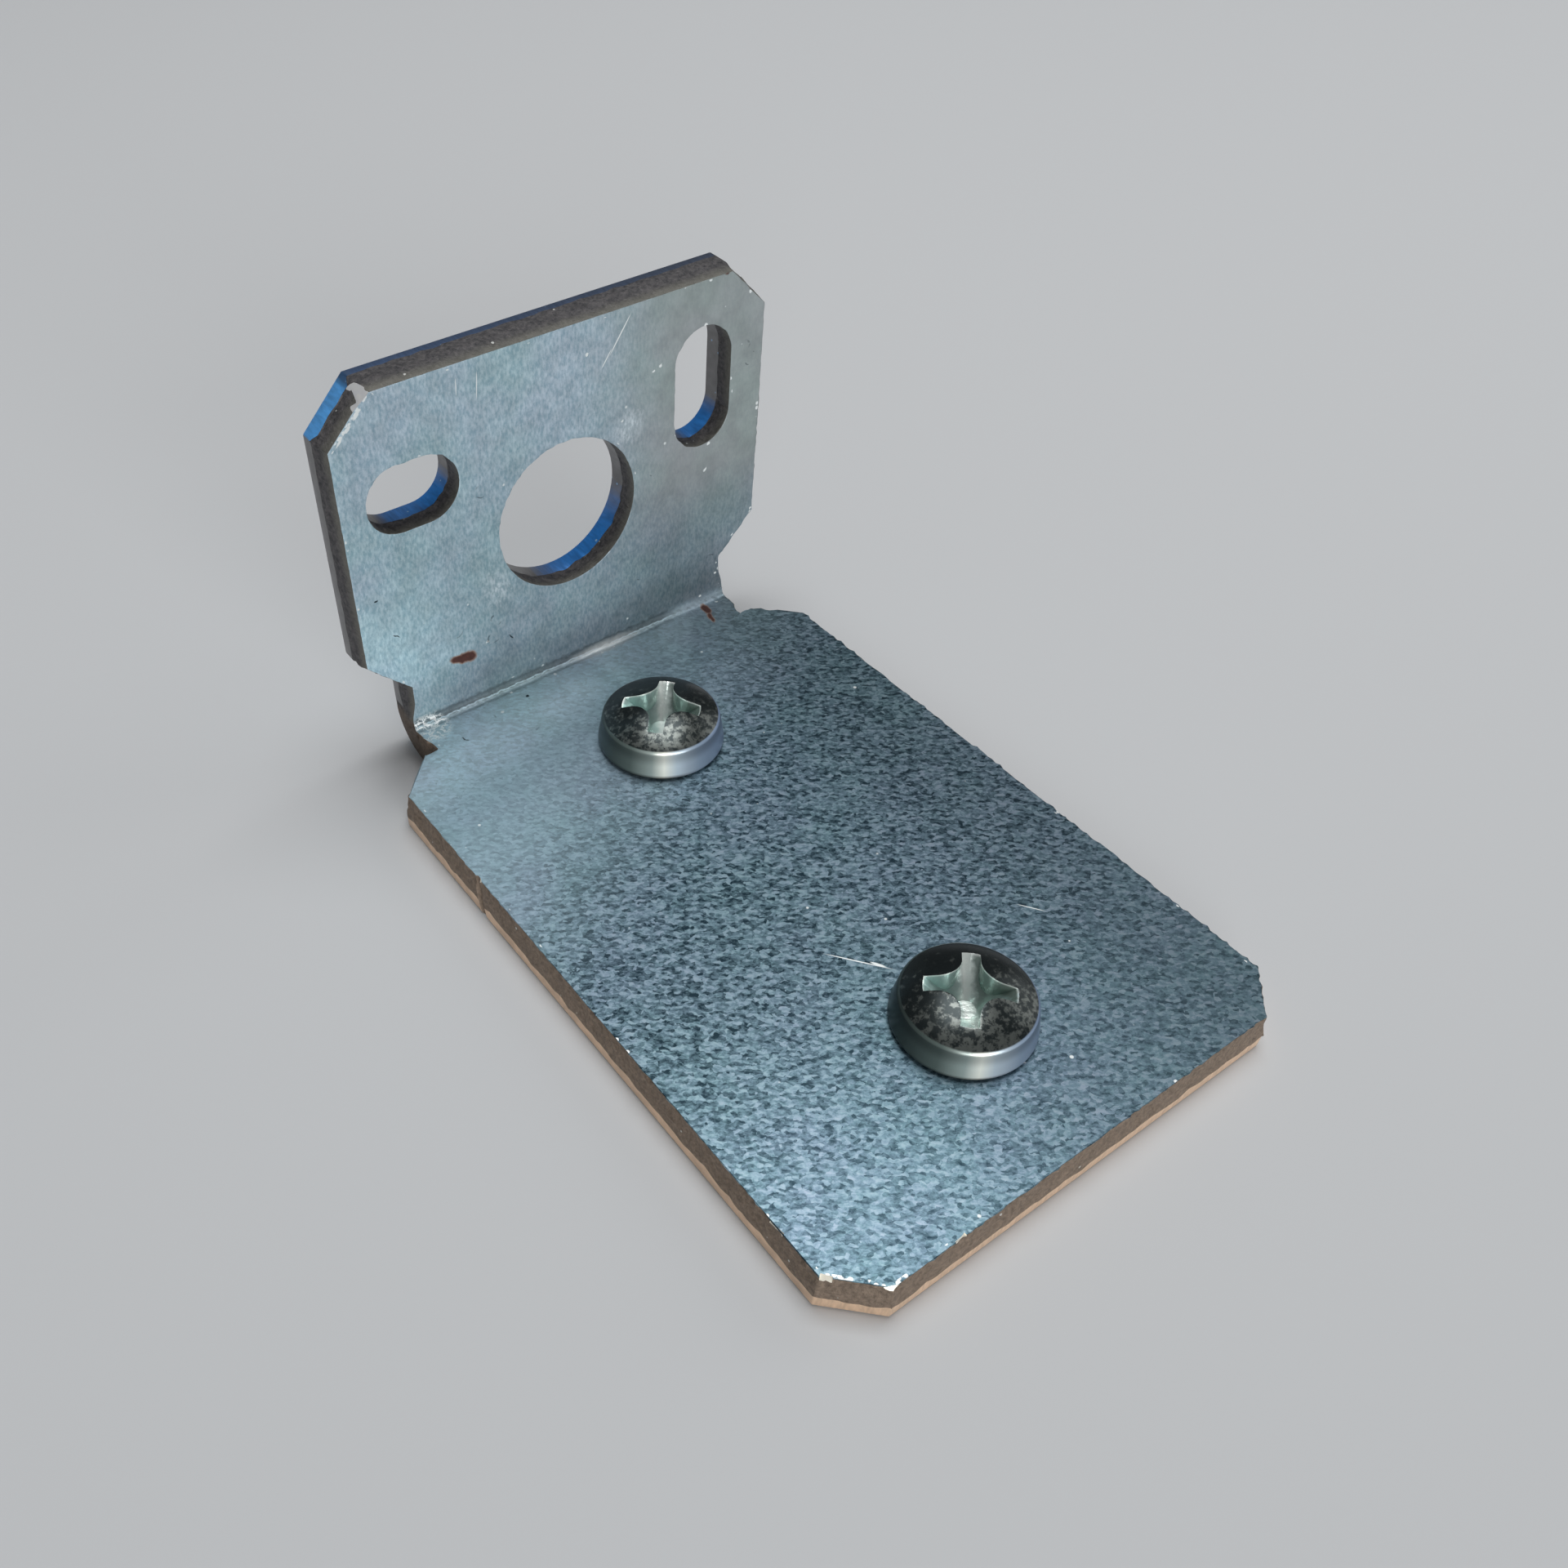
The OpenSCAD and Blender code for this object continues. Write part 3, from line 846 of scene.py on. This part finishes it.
        # Drops about 0.3 mm across, closest at the two struck corners
        drop_cells = node("TexVoronoi", {"Vector": place, "Scale": 1 / 0.26})
        drop_pick = node("SeparateXYZ", {0: drop_cells["Color"]})[0]
        corners = marks(node, place, (((-13.5, 23.8, 24.6), (2.2, 1, 2.2), LEVEL),
                                      ((-14, -22, 2.5), (2.6, 2.6, 1), LEVEL)))
        share = node("MapRange", {0: corners, 3: 0.97, 4: 0.12})[0]
        picked = node("Math", {0: drop_pick, 1: share}, operation="GREATER_THAN")[0]
        drop = node("MapRange", {0: drop_cells["Distance"], 1: 0.6, 2: 0.4})[0]
        drop = node("Math", {0: drop, 1: picked}, operation="MULTIPLY")[0]
        zinc = node("Math", {0: zinc, 1: drop}, operation="MAXIMUM")[0]
    tone = node("Mix", {FACTOR: zinc, FIRST: tone, SECOND: colour("#E9EEEE")}, **BLENDED)[RESULT]
    curl_cells = node("TexVoronoi", {"Vector": frayed, "Scale": 1 / 2.6})["Distance"]
    curl_off = node("Math", {0: curl_cells, 1: 0.17}, operation="SUBTRACT")[0]
    curl_off = node("Math", {0: curl_off}, operation="ABSOLUTE")[0]
    curl = node("MapRange", {0: curl_off, 1: 0.022, 2: 0.008})[0]
    curl_part = node("TexNoise", {"Vector": place, "Scale": 1 / 0.9})[0]
    curl_part = node("MapRange", {0: curl_part, 1: 0.58, 2: 0.64, 4: 0.6})[0]
    curl = node("Math", {0: curl, 1: curl_part}, operation="MULTIPLY")[0]
    either = node("Math", {0: on_upright, 1: calm}, operation="MAXIMUM")[0]
    curl = node("Math", {0: curl, 1: either}, operation="MULTIPLY")[0]
    dark = node("Math", {0: curl, 1: marks(node, frayed, PITS)}, operation="MAXIMUM")[0]
    tone = node("Mix", {FACTOR: dark, FIRST: tone, SECOND: colour("#1F2E36")}, **BLENDED)[RESULT]
    # Rust with a pale edge where the zinc has flaked off
    flaked = marks(node, frayed, RUST_EDGE)
    tone = node("Mix", {FACTOR: flaked, FIRST: tone, SECOND: colour("#A88A7A")}, **BLENDED)[RESULT]
    rust_grain = node("Mix", {FACTOR: veins, FIRST: colour("#2C1814"), SECOND: colour("#61382E")},
                      **BLENDED)[RESULT]
    rusty = marks(node, frayed, RUST)
    tone = node("Mix", {FACTOR: rusty, FIRST: tone, SECOND: rust_grain}, **BLENDED)[RESULT]
    bare = node("MapRange", {0: on_upright, 3: 0.65, 4: 0.35})[0]
    metal = node("Mix", {0: rusty, 2: bare, 3: 0.0}, data_type="FLOAT")[0]
    rough = node("MapRange", {0: fleck, 3: 0.5, 4: 0.42})[0]
    bump = node("Bump", {"Height": coarse, "Strength": 0.25, "Distance": 0.02 * MM})[0]
    surface = node("BsdfPrincipled", {"Base Color": tone, "Metallic": metal, "Roughness": rough,
                                      "Normal": bump})[0]
    node("OutputMaterial", {"Surface": surface})
    return made


def sheared_edge():
    """Steel burnished by the punch: a smooth band with fine lines across it, with a painted tan reflection
    on the base leg. On the upright leg it is slate, with a painted blue reflection where it faces up, paler
    at the left corner and duller along the top, and has pale specks."""
    made, node, place = new_material("sheared_steel_edge")
    x, _, z = node("SeparateXYZ", {0: place})[:3]
    on_upright = past_fold(node, z)
    # Painted reflections: blue where the edge faces up, tan on the base leg
    facing = node("TexCoord")["Normal"]
    skyward = node("VectorMath", {0: facing, 1: (-0.5, 0, 0.866)}, operation="DOT_PRODUCT")["Value"]
    blue = node("MapRange", {0: skyward, 1: 0.55, 2: 0.98}, **EASED)[0]
    at_top = node("MapRange", {0: z, 1: 25.7, 2: 26})[0]
    fading = node("MapRange", {0: x, 1: -12, 2: 10, 3: 0.82, 4: 1.0})[0]
    fading = node("Math", {0: at_top, 1: fading}, operation="MULTIPLY")[0]
    corner = node("MapRange", {0: x, 1: -12, 2: -12.6})[0]
    painted_sky_reflection = node("Mix", {FACTOR: corner, FIRST: colour("#2F7FCE"), SECOND: colour("#5CA7EA")},
                    **BLENDED)[RESULT]
    painted_sky_reflection = node("Mix", {FACTOR: fading, FIRST: painted_sky_reflection, SECOND: colour("#35445C")}, **BLENDED)[RESULT]
    upright = node("Mix", {FACTOR: blue, FIRST: colour("#706F70"), SECOND: painted_sky_reflection}, **BLENDED)[RESULT]
    tone = node("Mix", {FACTOR: on_upright, FIRST: colour("#DABB9E"), SECOND: upright}, **BLENDED)[RESULT]
    through = node("Mapping", {0: place, "Scale": (1, 6, 6)}, vector_type="TEXTURE")[0]
    lines = node("TexNoise", {"Vector": through, "Scale": 1 / 0.15, "Detail": 3})[0]
    shade = node("MapRange", {0: lines, 1: 0.3, 2: 0.7, 3: 0.78, 4: 1.12})[0]
    finish = node("Mix", {FACTOR: 1.0, FIRST: tone, SECOND: shade}, **SHADED)[RESULT]
    speck = specks(node, place, 0.5, 0.35, 0.2, 0.06, 1.0)
    speck = node("Math", {0: speck, 1: on_upright}, operation="MULTIPLY")[0]
    finish = node("Mix", {FACTOR: speck, FIRST: finish, SECOND: colour("#8FB6D8")}, **BLENDED)[RESULT]
    surface = node("BsdfPrincipled", {"Base Color": finish, "Metallic": 0.3, "Roughness": 0.38})[0]
    node("OutputMaterial", {"Surface": surface})
    return made


def torn_edge():
    """Steel torn off at the end of the punch's stroke: dull, dark and grainy, olive brown on the base leg
    and slate on the upright leg, olive towards the inner face, with white specks of zinc."""
    made, node, place = new_material("torn_steel_edge")
    _, y, z = node("SeparateXYZ", {0: place})[:3]
    on_upright = past_fold(node, z)
    grain = node("TexNoise", {"Vector": place, "Scale": 1 / 0.25, "Detail": 4, "Roughness": 0.7})[0]
    grain = node("MapRange", {0: grain, 1: 0.3, 2: 0.7})[0]
    warm = node("Mix", {FACTOR: grain, FIRST: colour("#64574B"), SECOND: colour("#928171")},
                **BLENDED)[RESULT]
    by_fold = node("MapRange", {0: y, 1: 21.5, 2: 23.5, 3: 1.0, 4: 0.55})[0]
    warm = node("Mix", {FACTOR: 1.0, FIRST: warm, SECOND: by_fold}, **SHADED)[RESULT]
    slate = node("Mix", {FACTOR: grain, FIRST: colour("#2C2D31"), SECOND: colour("#625F60")},
                 **BLENDED)[RESULT]
    inward = node("MapRange", {0: y, 1: 24.7, 2: 23.9, 4: 0.6}, **EASED)[0]
    slate = node("Mix", {FACTOR: inward, FIRST: slate, SECOND: colour("#74736A")}, **BLENDED)[RESULT]
    tone = node("Mix", {FACTOR: on_upright, FIRST: warm, SECOND: slate}, **BLENDED)[RESULT]
    speck = specks(node, place, 0.8, 0.4, 0.13, 0.04, 0.75)
    finish = node("Mix", {FACTOR: speck, FIRST: tone, SECOND: colour("#D6D8D4")}, **BLENDED)[RESULT]
    bump = node("Bump", {"Height": grain, "Strength": 0.6, "Distance": 0.05 * MM})[0]
    surface = node("BsdfPrincipled", {"Base Color": finish, "Metallic": 0.4, "Roughness": 0.6,
                                      "Normal": bump})[0]
    node("OutputMaterial", {"Surface": surface})
    return made


def bare_zinc():
    """Zinc laid bare by a blow: a bright metal, cream on the base leg and lilac grey on the upright leg."""
    made, node, place = new_material("bare_zinc")
    z = node("SeparateXYZ", {0: place})[2]
    on_upright = past_fold(node, z)
    grain = node("TexNoise", {"Vector": place, "Scale": 1 / 0.5, "Detail": 2})[0]
    struck = node("Mix", {FACTOR: grain, FIRST: colour("#BEC1C9"), SECOND: colour("#D9D7D0")},
                  **BLENDED)[RESULT]
    tone = node("Mix", {FACTOR: on_upright, FIRST: colour("#F2EDDE"), SECOND: struck}, **BLENDED)[RESULT]
    bump = node("Bump", {"Height": grain, "Strength": 0.3, "Distance": 0.05 * MM})[0]
    surface = node("BsdfPrincipled", {"Base Color": tone, "Metallic": 0.4, "Roughness": 0.4,
                                      "Normal": bump})[0]
    node("OutputMaterial", {"Surface": surface})
    return made


# The level direction across the photograph's view, and the painted light of a screw's side from left to
# right along it: painted shade, a painted highlight, then a painted bluish reflection
ACROSS = (0.816, -0.578, 0)
SIDE_PAINTED_LIGHT = ((0.0, "#343E3C"), (0.25, "#65736F"), (0.42, "#A9B6B1"), (0.52, "#FDFEF2"), (0.62, "#C6D4DD"),
              (0.8, "#91A4B9"), (1.0, "#6C7E9A"))
# Painted light across a screw's recess from left to right: a teal reflection, a painted highlight in the
# middle, painted shade on the right
RECESS_PAINTED_LIGHT = ((0.0, "#C0D8D4"), (0.3, "#A2BBB7"), (0.42, "#BFD3CE"), (0.5, "#F4FBF6"), (0.6, "#E8F4EF"),
                (0.68, "#92A19B"), (1.0, "#8A9A93"))


def beside_axis(node, place):
    """A place seen from the axis of its own screw, across the axis, and its height, in millimetres."""
    x, y, z = node("SeparateXYZ", {0: place})[:3]
    half = node("Math", {0: y}, operation="SIGN")[0]
    beside = node("Math", {0: half, 1: -SCREW_Y / MM, 2: y}, operation="MULTIPLY_ADD")[0]
    return node("CombineXYZ", {0: x, 1: beside})[0], z


def zinc_plated_screw():
    """Steel plated with bright zinc, with light painted on: its side has painted shade on the left, a
    painted highlight in the middle and a painted bluish reflection on the right, a painted shadow at the
    foot, and a painted grey shade band under a painted highlight along the rim. The crown is a painted dark
    reflection, with grey flecks that gather at the front as a painted sheen."""
    made, node, place = new_material("zinc_plated_screw")
    spot, z = beside_axis(node, place)
    facing = node("TexCoord")["Normal"]
    rise = node("SeparateXYZ", {0: facing})[2]
    upward = node("MapRange", {0: rise, 1: 0.72, 2: 0.86}, **EASED)[0]
    high = node("MapRange", {0: z, 1: 4.2, 2: 4.4})[0]
    crown = node("Math", {0: upward, 1: high}, operation="MULTIPLY")[0]
    pits = node("TexNoise", {"Vector": place, "Scale": 1 / 0.4, "Detail": 4, "Roughness": 0.65})[0]
    # Painted dark reflection on the crown, with grey flecks that gather towards the front as a painted sheen
    forward = node("VectorMath", {0: spot, 1: (-0.1, -0.25, 0)}, operation="DOT_PRODUCT")["Value"]
    fleck_and_front_sheen_level = node("Math", {0: forward, 1: 0.12, 2: pits}, operation="MULTIPLY_ADD")[0]
    flecks_and_front_sheen = node("MapRange", {0: fleck_and_front_sheen_level, 1: 0.5, 2: 0.68}, **EASED)[0]
    painted_crown_reflection = node("Mix", {FACTOR: flecks_and_front_sheen, FIRST: colour("#282F30"), SECOND: colour("#656A67")},
                 **BLENDED)[RESULT]
    # Painted light round the side: painted shade on the left, a painted highlight in the middle, a painted
    # bluish reflection on the right
    across = node("VectorMath", {0: spot, 1: ACROSS}, operation="DOT_PRODUCT")["Value"]
    radius = node("VectorMath", {0: spot}, operation="LENGTH")["Value"]
    turn = node("Math", {0: across, 1: radius}, operation="DIVIDE")[0]
    around = node("MapRange", {0: turn, 1: -1, 2: 1})[0]
    side = node("ValToRGB", {0: around})[0]
    spread(side.node.color_ramp, [(at, colour(tint)) for at, tint in SIDE_PAINTED_LIGHT])
    # A painted grey shade band round the top of the side, under a painted highlight line along the rim
    band = node("MapRange", {0: z, 1: 3.5, 2: 4.2, 3: 1.0, 4: 0.6}, **EASED)[0]
    rim = node("MapRange", {0: rise, 1: 0.3, 2: 0.55})[0]
    band = node("Mix", {0: rim, 2: band, 3: 1.1}, data_type="FLOAT")[0]
    side = node("Mix", {FACTOR: 1.0, FIRST: side, SECOND: band}, **SHADED)[RESULT]
    # A painted shadow at the foot of the side, on the left
    foot = node("MapRange", {0: z, 1: 2.95, 2: 2.65})[0]
    shadowed_turn = node("MapRange", {0: turn, 1: 0.7, 2: 0.1}, **EASED)[0]
    foot = node("Math", {0: foot, 1: shadowed_turn}, operation="MULTIPLY")[0]
    side = node("Mix", {FACTOR: foot, FIRST: side, SECOND: colour("#0E1212")}, **BLENDED)[RESULT]
    tone = node("Mix", {FACTOR: crown, FIRST: side, SECOND: painted_crown_reflection}, **BLENDED)[RESULT]
    rough = node("MapRange", {0: crown, 3: 0.3, 4: 0.27})[0]
    mirror = node("MapRange", {0: crown, 3: 0.35, 4: 0.7})[0]
    bump = node("Bump", {"Height": pits, "Strength": 0.12, "Distance": 0.02 * MM})[0]
    surface = node("BsdfPrincipled", {"Base Color": tone, "Metallic": mirror, "Roughness": rough,
                                      "Normal": bump})[0]
    node("OutputMaterial", {"Surface": surface})
    return made


def zinc_recess():
    """Bright zinc in the cross recess, with light painted on: a painted teal reflection on the left, a
    painted highlight down the middle, painted shade on the right, and a painted highlight along the rim."""
    made, node, place = new_material("zinc_plated_recess")
    spot, z = beside_axis(node, place)
    # Painted reflection across the recess: teal on the left, a painted highlight down the middle, painted
    # shade on the right
    across = node("VectorMath", {0: spot, 1: ACROSS}, operation="DOT_PRODUCT")["Value"]
    grain = node("TexNoise", {"Vector": place, "Scale": 1 / 0.4, "Detail": 3})[0]
    waved = node("Math", {0: grain, 1: 0.6, 2: across}, operation="MULTIPLY_ADD")[0]
    around = node("MapRange", {0: waved, 1: -1.7, 2: 2.3})[0]
    tone = node("ValToRGB", {0: around})[0]
    spread(tone.node.color_ramp, [(at, colour(tint)) for at, tint in RECESS_PAINTED_LIGHT])
    # Depth under the domed crown
    square = node("VectorMath", {0: spot, 1: spot}, operation="DOT_PRODUCT")["Value"]
    dome = node("Math", {0: (CROWN_R / MM) ** 2, 1: square}, operation="SUBTRACT")[0]
    dome = node("Math", {0: dome}, operation="SQRT")[0]
    dome = node("Math", {0: dome, 1: (SHEET_T + HEAD_H - CROWN_R) / MM}, operation="ADD")[0]
    depth = node("Math", {0: dome, 1: z}, operation="SUBTRACT")[0]
    # A painted highlight along the recess's rim
    rim = node("MapRange", {0: depth, 1: 0.14, 2: 0.05})[0]
    tone = node("Mix", {FACTOR: rim, FIRST: tone, SECOND: colour("#F6FCF8")}, **BLENDED)[RESULT]
    bump = node("Bump", {"Height": grain, "Strength": 0.4, "Distance": 0.08 * MM})[0]
    surface = node("BsdfPrincipled", {"Base Color": tone, "Metallic": 0.7, "Roughness": 0.26,
                                      "Normal": bump})[0]
    node("OutputMaterial", {"Surface": surface})
    return made


SHEET_FINISHES = (galvanised_sheet("galvanised_sheet", False), sheared_edge(), torn_edge(),
                  galvanised_sheet("galvanised_rim", True), bare_zinc())
for slot, finish in enumerate(SHEET_FINISHES):
    bracket.data.materials[slot] = finish
SCREW_FINISHES = (zinc_plated_screw(), zinc_recess())
for piece in (screw, rear_screw):
    for slot, finish in enumerate(SCREW_FINISHES):
        piece.data.materials[slot] = finish
    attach(piece, "root")
    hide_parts("screws")

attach(bracket, "root")
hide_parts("bracket")

# Camera at the photograph's viewing angle
CAMERA_PLACE = (-40.18 * MM, -40.79 * MM, 63.83 * MM)
AZIMUTH = math.radians(-35.34)
ELEVATION = math.radians(47.63)
ROLL = math.radians(-0.1)
lens = bpy.data.cameras.new("camera")
lens.lens = 32.393
lens.sensor_width = 36
lens.shift_x = 0.0902
lens.shift_y = 0.057
lens.clip_start = 1 * MM
lens.clip_end = 10
camera = bpy.data.objects.new("camera", lens)
bpy.context.scene.collection.objects.link(camera)
aim = Matrix.Rotation(AZIMUTH, 4, "Z") @ Matrix.Rotation(math.pi / 2 - ELEVATION, 4, "X")
camera.matrix_world = Matrix.Translation(CAMERA_PLACE) @ aim @ Matrix.Rotation(ROLL, 4, "Z")
scene = bpy.context.scene
scene.camera = camera

# Floor: the pale surface that the bracket is screwed to
bpy.ops.object.select_all(action="DESELECT")
bpy.ops.mesh.primitive_plane_add(size=3, location=(0, 0, -0.02 * MM))
floor = bpy.context.object
floor.name = "floor"
paint, node = new_material("pale_floor")[:2]
matt = node("BsdfPrincipled", {"Base Color": colour("#C9CBCD"), "Roughness": 0.8})[0]
node("OutputMaterial", {"Surface": matt})
floor.data.materials.append(paint)

# Soft studio light: place, width and depth in metres, and power
LAMPS = {
    "top": ((0.09, 0.09, 0.59), (0.34, 0.34), 2.2),
    "front": ((-1.0, -2.8, 0.8), (2.8, 1.6), 72),
    "right": ((0.55, -0.05, 0.28), (0.40, 0.40), 0.5),
}
for name, (spot, (width, depth), power) in LAMPS.items():
    lamp = bpy.data.lights.new(name, "AREA")
    lamp.shape = "RECTANGLE"
    lamp.size = width
    lamp.size_y = depth
    lamp.energy = power
    box = bpy.data.objects.new(name, lamp)
    box.location = spot
    box.rotation_euler = (-Vector(spot)).to_track_quat("-Z", "Y").to_euler()
    box.visible_camera = False
    scene.collection.objects.link(box)
world = bpy.data.worlds.new("studio")
world.use_nodes = True
world.node_tree.nodes["Background"].inputs["Color"].default_value = colour("#C8CCD0")
world.node_tree.nodes["Background"].inputs["Strength"].default_value = 0.15
scene.world = world
scene.view_settings.view_transform = "Standard"
